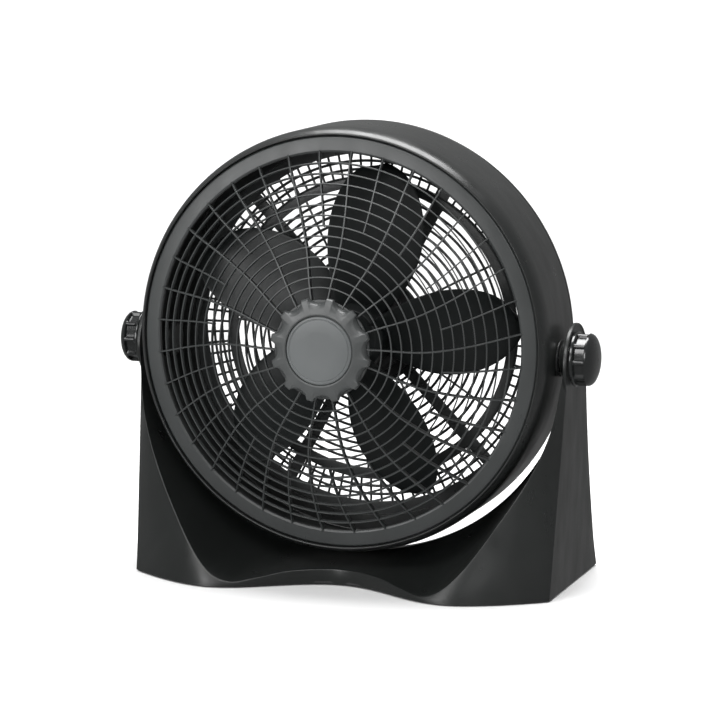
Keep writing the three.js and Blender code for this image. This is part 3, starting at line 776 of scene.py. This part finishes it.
def drum_profile():
    """The casing's outline: bead, rounded shoulder, rear seam and lip, ledge and inner wall."""
    outer, inner = DRUM_RADIUS, DRUM_RADIUS - DRUM_WALL
    bead = [(BEAD_RADIUS - 1.2, 4.5, 0.6), (BEAD_RADIUS - 1.2, 1.1 - RIM_PROUD, 1.0),
            (BEAD_RADIUS, -RIM_PROUD, 1.0), (BEAD_RADIUS + 1.4, 1.3 - RIM_PROUD, 1.2)]
    turns = [math.radians(degrees) for degrees in range(20, 91, 10)]
    shoulder = [(outer - SHOULDER_RISE * (1 - math.sin(turn)),
                 SHOULDER_END - SHOULDER_DEPTH * math.cos(turn)) for turn in turns]
    seam = [(outer, SEAM_Y, 0.4), (outer - 0.9, SEAM_Y + 0.6, 0.3), (outer - 0.9, SEAM_Y + 1.8, 0.3),
            (outer - 0.2, SEAM_Y + 2.4, 0.4)]
    lip = [(outer - 0.6, REAR_FACE, 4), (outer - 2.8, DRUM_REAR - 1.5, 2.5),
           (outer - 4.1, DRUM_REAR, 1.2), (outer - 4.2, REAR_Y, 0.4)]
    ledge = [(LEDGE_INNER, REAR_Y - 0.3, 0.6), (LEDGE_INNER, REAR_Y - 4, 0.6)]
    wall = [(inner, REAR_Y - 4, 2.5), (inner, 9, 2)]
    return rounded(bead + shoulder + seam + lip + ledge + wall, True, 12)


def drum_shape():
    """The casing with a blind pad on each side, which covers the threaded insert."""
    shape = Shape().add(*lathe(drum_profile(), 288))
    pad = rounded([(0, PAD_BACK), (PAD_RADIUS - 4, PAD_BACK, 3), (PAD_RADIUS, PAD_BACK + 3.6, 2),
                   (PAD_RADIUS, PAD_FACE, 0.8), (BOLT_HOLE, PAD_FACE, 0.5),
                   (BOLT_HOLE, INSERT_FACE, 0.3), (INSERT_HOLE, INSERT_FACE, 0.3),
                   (INSERT_HOLE, PAD_BACK + 3.2, 0.3), (0, PAD_BACK + 3.2)], False)
    add_on_sides(shape, pad, 64, [0, PIVOT_Y, PIVOT_Z])
    return shape.moved(DRUM)


# ---- hub cap ----

NOTCH_COUNT, NOTCH_RADIUS, NOTCH_CENTRE, NOTCH_SOFTNESS = 12, 11.5, 59.0, 1.6
NOTCH_START = math.radians(3)
NOTCH_SLOPE = 0.35
CAP_FRONT, CAP_DEPTH = -62.0, 8.0
FACE_RADIUS = 40.0
SEAT_RADIUS, DISC_RADIUS = 37.0, 36.4


def notch_edge(angles):
    """Radius of the scalloped edge: a circle with round notches, their corners softened."""
    step = 2 * math.pi / NOTCH_COUNT
    off = (angles - NOTCH_START + step / 2) % step - step / 2
    inside = NOTCH_RADIUS ** 2 - (NOTCH_CENTRE * np.sin(off)) ** 2
    reach = np.where(inside > 0, -1, 3) * np.sqrt(np.abs(inside))
    notch = NOTCH_CENTRE * np.cos(off) + reach
    gap = np.clip(0.5 + 0.5 * (notch - HUB_RADIUS) / NOTCH_SOFTNESS, 0, 1)
    return notch * (1 - gap) + HUB_RADIUS * gap - NOTCH_SOFTNESS * gap * (1 - gap)


def scalloped(radius, y, angles):
    """Draws a ring of the cap in at each notch. The notches' floors slope out towards the back."""
    share = np.clip((radius - FACE_RADIUS) / (HUB_RADIUS - FACE_RADIUS), 0, 1)
    depth = np.clip((y - 2.0) / 6.0, 0, 1)
    limit = notch_edge(angles)
    limit = limit + (HUB_RADIUS - limit) * NOTCH_SLOPE * depth
    shrunk = FACE_RADIUS + (limit - FACE_RADIUS) * share
    return np.where(limit < HUB_RADIUS, np.minimum(radius, shrunk), radius)


def hub_cap_shape():
    profile = rounded([
        (0, 3), (SEAT_RADIUS, 3, 0.3), (SEAT_RADIUS + 0.2, 0.5, 0.3), (SEAT_RADIUS + 1.6, 0.1, 0.3),
        (49, 1.2, 4), (54.6, 2.3, 1.4), (HUB_RADIUS, 4.4, 1.2), (HUB_RADIUS, 5.6), (HUB_RADIUS, 6.8),
        (HUB_RADIUS, CAP_DEPTH - 0.2, 0.3), (44, CAP_DEPTH, 0.2), (0, CAP_DEPTH),
    ], False, 12)
    fine = subdivided(profile, 1.5, lambda a, b: min(a[0], b[0]) > SEAT_RADIUS - 1)
    return turned(fine, 720, scalloped, CAP_FRONT)


def hub_disc_shape():
    """A plain, slightly domed disc with one fine groove near its edge."""
    front = CAP_FRONT
    profile = rounded([
        (0, front), (20, front + 0.1, 30), (32.4, front + 0.5, 1.0), (32.9, front + 1.1, 0.25),
        (33.5, front + 1.1, 0.25), (34.0, front + 0.6, 0.3), (DISC_RADIUS - 0.8, front + 0.9, 0.5),
        (DISC_RADIUS, front + 1.7, 0.3), (DISC_RADIUS, front + 2.7, 0.1), (0, front + 2.7),
    ], False, 15)
    return turned(profile, 144)


# ---- rear guard ----

REAR_PITCH = 9.1
RIM_INNER, RIM_OUTER = 193.0, 225.0
BAND_INNER, BAND_OUTER = 156.0, 166.0
OUTER_RING_COUNT, INNER_RING_COUNT = 3, 10
RUNG_COUNT, SPOKE_COUNT = 96, 12
PLATE_RADIUS, SHAFT_HOLE = 62.0, 8.4
ARM_ANGLES = (-46, 61, 134, 241)
ARM_HALF_WIDTH = 6.5


def rear_wire(shape, degrees, start, end, width, swirl, lift):
    """A wire from radius start to end, swirling by degrees per mm, its middle lift behind REAR_Y."""
    radius = np.linspace(start, end, max(6, int((end - start) / 5)))
    path = polar(radius, degrees + swirl * (radius - start), REAR_Y + lift)
    shape.add(*sweep(path, REARWARD, ellipse(width, 3.2), False))


def rear_rings(shape):
    radii = [RIM_INNER + 1 - REAR_PITCH * i for i in range(1, OUTER_RING_COUNT + 1)]
    radii += [BAND_INNER + 1 - REAR_PITCH * i for i in range(1, INNER_RING_COUNT + 1)]
    for radius in radii:
        path = polar(*around_circle(radius, 168), REAR_Y + 1.5)
        shape.add(*sweep(path, REARWARD, ellipse(3.2, 3.4), True))


def rear_arms(shape):
    bar = rounded([(-ARM_HALF_WIDTH, -1.7, 0.7), (ARM_HALF_WIDTH, -1.7, 0.7),
                   (ARM_HALF_WIDTH, 1.9, 1.2), (-ARM_HALF_WIDTH, 1.9, 1.2)])
    for degrees in ARM_ANGLES:
        path = polar(np.linspace(PLATE_RADIUS - 7, RIM_INNER + 3, 30), float(degrees), REAR_Y + 1.9)
        shape.add(*sweep(path, REARWARD, bar, False))


def rear_guard_shape():
    shape = Shape()
    rim = rounded([(RIM_INNER, REAR_Y, 0.5), (RIM_OUTER, REAR_Y, 0.5), (RIM_OUTER, REAR_FACE, 0.8),
                   (219, REAR_FACE, 1.0), (205, REAR_FACE, 1.5), (196, REAR_FACE - 0.4, 1.5),
                   (RIM_INNER, REAR_FACE - 1.4, 0.6)])
    shape.add(*lathe(rim, 240))
    rear_rings(shape)
    band = rounded([(BAND_INNER, REAR_Y, 0.5), (BAND_OUTER, REAR_Y, 0.5),
                    (BAND_OUTER, REAR_FACE - 0.6, 0.6), (BAND_INNER, REAR_FACE - 0.6, 0.6)])
    shape.add(*lathe(band, 200))
    for i in range(RUNG_COUNT):
        rear_wire(shape, 360 / RUNG_COUNT * i, BAND_OUTER - 1, RIM_INNER + 2, 2.8, 0.0, 1.7)
    for i in range(SPOKE_COUNT):
        rear_wire(shape, 360 / SPOKE_COUNT * i + 0.7, PLATE_RADIUS - 3, BAND_INNER + 2, 2.6, -0.02, 1.6)
    rear_arms(shape)
    plate = rounded([(SHAFT_HOLE, REAR_Y, 0.4), (PLATE_RADIUS - 2, REAR_Y, 0.6),
                     (PLATE_RADIUS, REAR_FACE, 1.5), (SHAFT_HOLE, REAR_FACE, 0.4)])
    shape.add(*lathe(plate, 96))
    return shape.moved(DRUM)


# ---- fan blades ----

BLADE_COUNT, BLADE_PHASE = 5, 73
BLADE_ROOT, BLADE_TIP = 30.0, 190.0
BLADE_FRONT, BLADE_BACK = 26.0, 68.0
LEAD_ROOT, TRAIL_ROOT = -33.0, 34.0
LEAD_SWEEP, TRAIL_SWEEP = 33.0, 20.0
BLADE_CAMBER, TIP_FLATTENING = 7.0, 0.15
BLADE_HALF, ROOT_EXTRA, EDGE_HALF = 1.0, 0.5, 0.12
SHAFT_BORE, BOSS_RADIUS = 4.3, 9.0
HUB_OUTER, HUB_INNER, HUB_BACK = 38.0, 35.0, 73.0


def blade_edges(s):
    """Angles of the two edges at share s of the blade's length, drawn together round the tip."""
    lead = LEAD_ROOT + LEAD_SWEEP * s ** 1.6 + 4.5 * s ** 14 + 3 * s ** 60
    trail = TRAIL_ROOT - TRAIL_SWEEP * s ** 1.9 - 3.5 * s ** 14 - 3 * s ** 60
    return lead, trail


def blade_points(rows=46, columns=26):
    """A closed pitched blade with rounded edges, as a grid folded round its two faces."""
    u = 0.5 - 0.5 * np.cos(np.linspace(0, math.pi, columns + 1))
    thickness = np.sqrt(np.clip(1 - (2 * u - 1) ** 6, 0, 1))
    sections = []
    for i in range(rows + 1):
        s = 1 - (1 - i / rows) ** 1.6
        radius = BLADE_ROOT + (BLADE_TIP - BLADE_ROOT) * s
        lead, trail = blade_edges(s)
        degrees = lead + (trail - lead) * u
        depth = (BLADE_BACK - BLADE_FRONT) * (1 - TIP_FLATTENING * s)
        y = BLADE_BACK - depth * u + BLADE_CAMBER * np.sin(math.pi * u)
        half = (BLADE_HALF + ROOT_EXTRA * (1 - s)) * thickness + EDGE_HALF
        if i == rows:
            half = half * 0.3
        front, back = polar(radius, degrees, y - half), polar(radius, degrees, y + half)
        sections.append(np.vstack([front, back[::-1]]))
    return np.array(sections)


def blades_shape():
    shape = Shape()
    grid = blade_points()
    faces = grid_faces(*grid.shape[:2])
    for i in range(BLADE_COUNT):
        shape.add(turn_y(grid.reshape(-1, 3), BLADE_PHASE + 360 * i / BLADE_COUNT), faces)
    hub = rounded([(SHAFT_BORE, 30, 0.3), (BOSS_RADIUS, 30, 0.5), (BOSS_RADIUS + 1, 31.5, 1),
                   (28, 31.5, 2), (31, 30, 2), (HUB_OUTER, 37, 3), (HUB_OUTER, HUB_BACK, 0.6),
                   (HUB_INNER, HUB_BACK, 0.6), (HUB_INNER, 38, 3), (BOSS_RADIUS, 34.5, 1),
                   (BOSS_RADIUS, 70, 0.5), (SHAFT_BORE, 70, 0.3)])
    shape.add(*lathe(hub, 96))
    return shape.moved(DRUM)


def lock_nut_shape():
    """A hand nut with six rounded wings."""
    wing_count, wing_depth = 6, 1.3

    def wings(radius, _, angles):
        depth = wing_depth if radius > 7 else 0.0
        return radius - depth * (0.5 - 0.5 * np.cos(wing_count * angles))

    profile = rounded([(SHAFT_BORE, 19, 0.3), (10, 19, 1.5), (11, 21, 1), (11, 29.7, 0.4),
                       (SHAFT_BORE, 29.7, 0.2)])
    return turned(profile, 96, wings)


# ---- motor and rear cover ----

HOUSING_RADIUS, FLANGE_RADIUS, HOUSING_BACK = 48.0, 57.0, 107.7
FIN_COUNT, FIN_DEPTH, FIN_FRONT, FIN_BACK = 36, 0.9, 82.0, 102.0


def motor_housing_shape():
    """A can with cooling fins round its wall and a flange at the back."""

    def fins(radius, y, angles):
        on_wall = FIN_FRONT < y < FIN_BACK and radius > HOUSING_RADIUS - 1.5
        return radius - (FIN_DEPTH if on_wall else 0.0) * (np.cos(FIN_COUNT * angles) > 0.2)

    profile = rounded([
        (8.4, 76, 0.4), (20, 76, 1), (22, 77.2, 1), (36, 77.2, 1), (38, 76, 1), (44, 76, 1.5),
        (HOUSING_RADIUS, 80, 2), (HOUSING_RADIUS, FIN_FRONT - 0.5), (HOUSING_RADIUS, FIN_FRONT + 0.5),
        (HOUSING_RADIUS, FIN_BACK - 0.5), (HOUSING_RADIUS, FIN_BACK + 0.5, 0.6),
        (FLANGE_RADIUS, 103, 1), (FLANGE_RADIUS, HOUSING_BACK, 0.6), (46, HOUSING_BACK, 0.3),
        (46, 81, 1), (43, 78.5, 0.5), (13, 78.5, 0.5), (13, 82, 0.4), (8.4, 82, 0.4),
    ])
    return turned(profile, 432, fins)


COVER_FRONT, COVER_REAR, COVER_RADIUS = 112.3, 134.0, 46.0
LOUVRE_COUNT, LOUVRE_DEPTH, LOUVRE_FRONT, LOUVRE_BACK = 40, 1.1, 115.5, 126.0
LOUVRE_BANK = 52


def rear_cover_shape():
    """A cup over the motor's back, with a bank of louvre slots on either side."""

    def louvres(radius, y, angles):
        on_wall = LOUVRE_FRONT < y < LOUVRE_BACK and radius > COVER_RADIUS - 0.5
        around = np.abs((np.degrees(angles) + 180) % 360 - 180)
        in_bank = (around < LOUVRE_BANK) | (around > 180 - LOUVRE_BANK)
        slot = np.cos(LOUVRE_COUNT * angles) > 0.1
        return radius - (LOUVRE_DEPTH if on_wall else 0.0) * (slot & in_bank)

    profile = rounded([
        (COVER_RADIUS, COVER_FRONT, 0.3), (COVER_RADIUS, LOUVRE_FRONT - 0.5),
        (COVER_RADIUS, LOUVRE_FRONT + 0.5), (COVER_RADIUS, LOUVRE_BACK - 0.5),
        (COVER_RADIUS, LOUVRE_BACK + 0.5), (COVER_RADIUS, LOUVRE_BACK + 2, 1.5),
        (COVER_RADIUS - 6, COVER_REAR, 3), (22, COVER_REAR, 0.8), (20.5, COVER_REAR - 1, 0.6),
        (18.5, COVER_REAR - 1, 0.4), (17.6, COVER_REAR - 0.2, 0.3), (5, COVER_REAR - 0.2, 0.3),
        (5, COVER_REAR - 2.2, 0.2), (COVER_RADIUS - 7, COVER_REAR - 2.2, 2),
        (COVER_RADIUS - 2.2, 127, 1), (COVER_RADIUS - 2.2, COVER_FRONT, 0.3),
    ])
    return turned(profile, 480, louvres)


DIAL_FRONT = COVER_REAR + 0.3
DIAL_FLUTES, DIAL_FLUTE_DEPTH = 18, 0.7
POINTER_HALF_WIDTH, POINTER_HALF_LENGTH, POINTER_CORNER = 1.9, 12.2, 1.6


def pointer_bar():
    """The raised bar across the speed knob's end, narrowed along its top edge."""
    half_width, half_length = POINTER_HALF_WIDTH, POINTER_HALF_LENGTH
    outline = rounded([(x * half_width, z * half_length, POINTER_CORNER)
                       for x, z in ((-1, -1), (1, -1), (1, 1), (-1, 1))])
    rows = [(DIAL_FRONT + 14.0, 1.0, 1.0), (DIAL_FRONT + 18.2, 1.0, 1.0),
            (DIAL_FRONT + 18.9, 0.72, 0.97)]
    points = [(x * narrow, y, z * short) for y, narrow, short in rows for x, z in outline]
    return points, grid_faces(len(rows), len(outline))


def speed_knob_shape():
    """A round skirt with a fluted grip and a raised pointer bar."""

    def grip(radius, y, angles):
        depth = DIAL_FLUTE_DEPTH if y > DIAL_FRONT + 5.1 and radius > 9 else 0.0
        return radius - depth * (0.5 - 0.5 * np.cos(DIAL_FLUTES * angles))

    front = DIAL_FRONT
    profile = rounded([
        (0, 138), (3.4, 138, 0.2), (3.4, front, 0.2), (17, front, 0.4), (17, front + 3, 1),
        (14.6, front + 5, 1), (13.2, front + 6, 0.6), (12.6, front + 14, 0.4),
        (11, front + 16.6, 1.4), (0, front + 17),
    ], False)
    fine = subdivided(profile, 1.2, lambda a, b: min(a[0], b[0]) > 9)
    return Shape().add(*lathe(fine, 288, grip)).add(*pointer_bar()).moved(DRUM)


DIGIT_SIZE, DIGIT_DEPTH, DIGIT_CIRCLE = 0.0065, 0.00018, 26.5


def dial_mark(text, degrees):
    """A small raised digit on the rear cover beside the speed knob."""
    data = bpy.data.curves.new(f"dial_text_{text}", "FONT")
    data.body = text
    data.size = DIGIT_SIZE
    data.extrude = DIGIT_DEPTH
    data.align_x = data.align_y = "CENTER"
    data.resolution_u = 3
    source = new_object(f"dial_text_{text}", data)
    bpy.context.view_layer.update()
    graph = bpy.context.evaluated_depsgraph_get()
    mesh = bpy.data.meshes.new_from_object(source.evaluated_get(graph))
    mesh.name = f"dial_digit_{text}"
    bpy.data.objects.remove(source)
    points = np.array([v.co for v in mesh.vertices]) / MM
    angle = math.radians(degrees)
    x, z = DIGIT_CIRCLE * math.sin(angle), DIGIT_CIRCLE * math.cos(angle)
    place = DRUM + np.array([-x, COVER_REAR + 0.12, z])
    placed = np.column_stack([-points[:, 0], points[:, 2], points[:, 1]]) + place
    for vertex, co in zip(mesh.vertices, placed * MM):
        vertex.co = co
    mesh.materials.clear()
    mesh.materials.append(MATERIALS["label"])
    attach(new_object(f"dial_digit_{text}", mesh), "head")


# ---- tilt knobs, screws and feet ----

PANEL_COUNT, PANEL_DEPTH, PANEL_HOLLOW = 9, 3.0, 0.9
FLANGE_END, GRIP_START, GRIP_END = 2.6, 3.4, 15.4
SOCKET_RADIUS, SOCKET_DEPTH = 4.3, 9.0


def grip_panels(radius, y, angles):
    """Hollow panels round the grip, with narrow lands between them."""
    if radius < 12 or y < GRIP_START or y > GRIP_END:
        return np.full_like(angles, radius)
    step = 2 * math.pi / PANEL_COUNT
    off = np.abs((angles + step / 2) % step - step / 2) / (step / 2)
    panel = np.clip((0.84 - off) / 0.16, 0, 1)
    ends = np.clip(min(y - GRIP_START, GRIP_END - y) / 0.8, 0, 1)
    walls = PANEL_DEPTH * panel * panel * (3 - 2 * panel)
    return radius - ends * (walls + PANEL_HOLLOW * (1 - off ** 2))


def tilt_knob_shape(side):
    """A flanged knob whose panelled grip ends in a smooth dome."""
    length = KNOB_END - KNOB_START
    turns = [math.radians(degrees) for degrees in range(8, 90, 9)]
    dome = [((KNOB_RADIUS - 1.6) * math.cos(turn),
             GRIP_END + 0.3 + (length - GRIP_END - 0.4) * math.sin(turn)) for turn in turns]
    profile = rounded([
        (0, SOCKET_DEPTH), (SOCKET_RADIUS, SOCKET_DEPTH, 0.2), (SOCKET_RADIUS, 0, 0.3),
        (KNOB_RADIUS, 0, 0.8), (KNOB_RADIUS, FLANGE_END, 1.0),
        (KNOB_RADIUS - 1.2, GRIP_START, 0.3), (KNOB_RADIUS - 1.4, GRIP_END, 0.4),
        *dome, (0, length),
    ], False, 10)
    fine = subdivided(profile, 1.0, lambda a, b: min(a[0], b[0]) > 10 and a[1] > 3)
    points, faces = lathe(fine, 288, grip_panels)
    points[:, 1] += KNOB_START
    return Shape().add(along_x(points, side), faces).moved(PIVOT)


def screw_shape(head_radius, head_height, shank_radius, length):
    """A pan-head screw along +Y, head face at y = 0 and shank towards +Y, with a cross recess."""
    count = 48
    face = [(0.0, 0.1 * head_height)]
    face += [(head_radius * share, 0.35 * head_height * share ** 4)
             for share in (0.12, 0.28, 0.42, 0.56, 0.62, 0.75, 0.9, 1.0)]
    sides = [(head_radius, 0.8 * head_height), (0.96 * head_radius, head_height),
             (shank_radius, head_height), (shank_radius, length), (0.0, length)]
    points, faces = lathe(face + sides, count)
    x, y, z = points[:1 + (len(face) - 1) * count].T
    share = np.hypot(x, z) / head_radius
    in_cross = (2 * np.abs(x * z) <= 0.32 * share * head_radius ** 2) & (share < 0.6)
    y += np.where(in_cross, 0.8 * head_height * (1 - 0.6 * share), 0.0)
    return points, faces


def rear_screw(name, node, radius, degrees):
    """A screw driven in from the rear, its head proud of the rear guard."""
    points, faces = screw_shape(3.4, 2.0, 1.6, 9.0)
    points[:, 1] = REAR_FACE + 2.3 - points[:, 1]
    points[:, 0] += radius
    shape = Shape().add(turn_y(points, degrees), faces)
    make_object(name, shape.moved(DRUM), "steel", "head", node)


def underside_piece(name, points, faces, node, material):
    """A body made about Y, stood on the lower end of a node of the base."""
    low, high = box_mm(node)
    place = [(low[0] + high[0]) / 2, (low[1] + high[1]) / 2, low[2]]
    shape = Shape().add(along_z(points), faces).moved(place)
    make_object(name, shape, material, "base", node)


def foot_screw(index):
    node = f"bottom_screw_{index}"
    low, high = box_mm(node)
    points, faces = screw_shape(3.2, 1.3, 1.6, high[2] - low[2])
    underside_piece(f"base_screw_{index}", points, faces, node, "steel")


def rubber_foot(index):
    node = f"rubber_foot_{index}"
    low, high = box_mm(node)
    radius, height = (high[0] - low[0]) / 2, high[2] - low[2]
    profile = rounded([(0, 0.5), (2.5, 0.5, 0.2), (3.2, 0, 0.2), (5.6, 0, 0.2), (6.2, 0.5, 0.2),
                       (7.4, 0.5, 0.2), (8, 0, 0.2), (radius - 0.2, 0, 0.5), (radius, height, 0.2),
                       (0, height)], False)
    points, faces = lathe(profile, 72)
    underside_piece(f"foot_pad_{index}", points, faces, node, "rubber")


GLAND_Y = 122.0


def cord_gland_shape():
    """The rubber sleeve in the cover's lower edge where a supply lead would leave."""
    profile = [(3.6, -54), (7.6, -54), (8, -53.4), (8, -52.6), (7, -52.2), (7, -51.6), (8, -51.2),
               (8, -47.4), (7.6, -47), (5, -47), (5, -36), (3.6, -36)]
    points, faces = lathe(profile, 48)
    return Shape().add(along_z(points) + REARWARD * GLAND_Y, faces).moved(DRUM)


# ---- build ----

HEAD_PIECES = (
    ("drum_body", drum_shape, "drum", "drum_shell", "satin_black", 32),
    ("front_guard", front_guard_shape, "grille", "front_grille", "grille_black", 32),
    ("scalloped_cap", hub_cap_shape, "hub", "hub_cap", "hub_black", 40),
    ("cap_disc", hub_disc_shape, "disc", "hub_disc", "hub_disc_grey", 32),
    ("rear_guard", rear_guard_shape, "grille", "rear_grille", "grille_black", 32),
    ("motor_can", motor_housing_shape, "motor", "motor_housing", "satin_black", 32),
    ("rear_cover", rear_cover_shape, "drum", "motor_rear_cover", "satin_black", 32),
    ("gland_sleeve", cord_gland_shape, "rubber", "cord_gland", "rubber", 32),
)
GUARD_SCREW_RADIUS, MOTOR_SCREW_RADIUS = 213, 52


def build_stand():
    make_object("stand_shell", stand_shape(), "stand", "base", "base_shell", 28)
    for i in range(1, 5):
        rubber_foot(i)
        foot_screw(i)


def build_head():
    for name, make_shape, material, node, slot, sharp in HEAD_PIECES:
        make_object(name, make_shape(), material, "head", node, sharp)
    for i in range(4):
        angle = 45 + 90 * i
        rear_screw(f"guard_screw_{i + 1}", f"rear_grille_screw_{i + 1}", GUARD_SCREW_RADIUS, angle)
        rear_screw(f"plate_screw_{i + 1}", f"motor_screw_{i + 1}", MOTOR_SCREW_RADIUS, angle)
    for i in range(4):
        dial_mark(str(i), 45 * i)


def build_moving():
    make_object("blade_set", blades_shape(), "blades", "rotor", "fan_blades", 45)
    make_object("spinner_nut", lock_nut_shape(), "motor", "rotor", "blade_lock_nut")
    for name, side in (("left", -1), ("right", 1)):
        make_object(f"{name}_grip_knob", tilt_knob_shape(side), "gloss", f"{name}_knob",
                    f"{name}_tilt_knob", 40)
    make_object("speed_dial_knob", speed_knob_shape(), "gloss", "speed_dial", "speed_knob",
                40)


CARRIED_OVER = {
    "bottom_plate": "motor", "left_pivot_insert": "brass", "right_pivot_insert": "brass",
    "left_outer_washer": "steel", "right_outer_washer": "steel",
    "left_friction_washer": "rubber", "right_friction_washer": "rubber",
    "left_tilt_bolt": "steel", "right_tilt_bolt": "steel", "stator_core": "laminate",
    "stator_windings": "copper", "front_bearing": "brass", "rear_bearing": "brass",
    "speed_switch": "gloss", "run_capacitor": "label", "motor_shaft": "steel",
    "rotor_core": "laminate",
}


def finish_carried_nodes():
    for node, key in CARRIED_OVER.items():
        for slot in NODES[node].material_slots:
            slot.material = MATERIALS[key]


make_camera()
make_world()
make_lights()
make_floor()
build_stand()
build_head()
build_moving()
finish_carried_nodes()
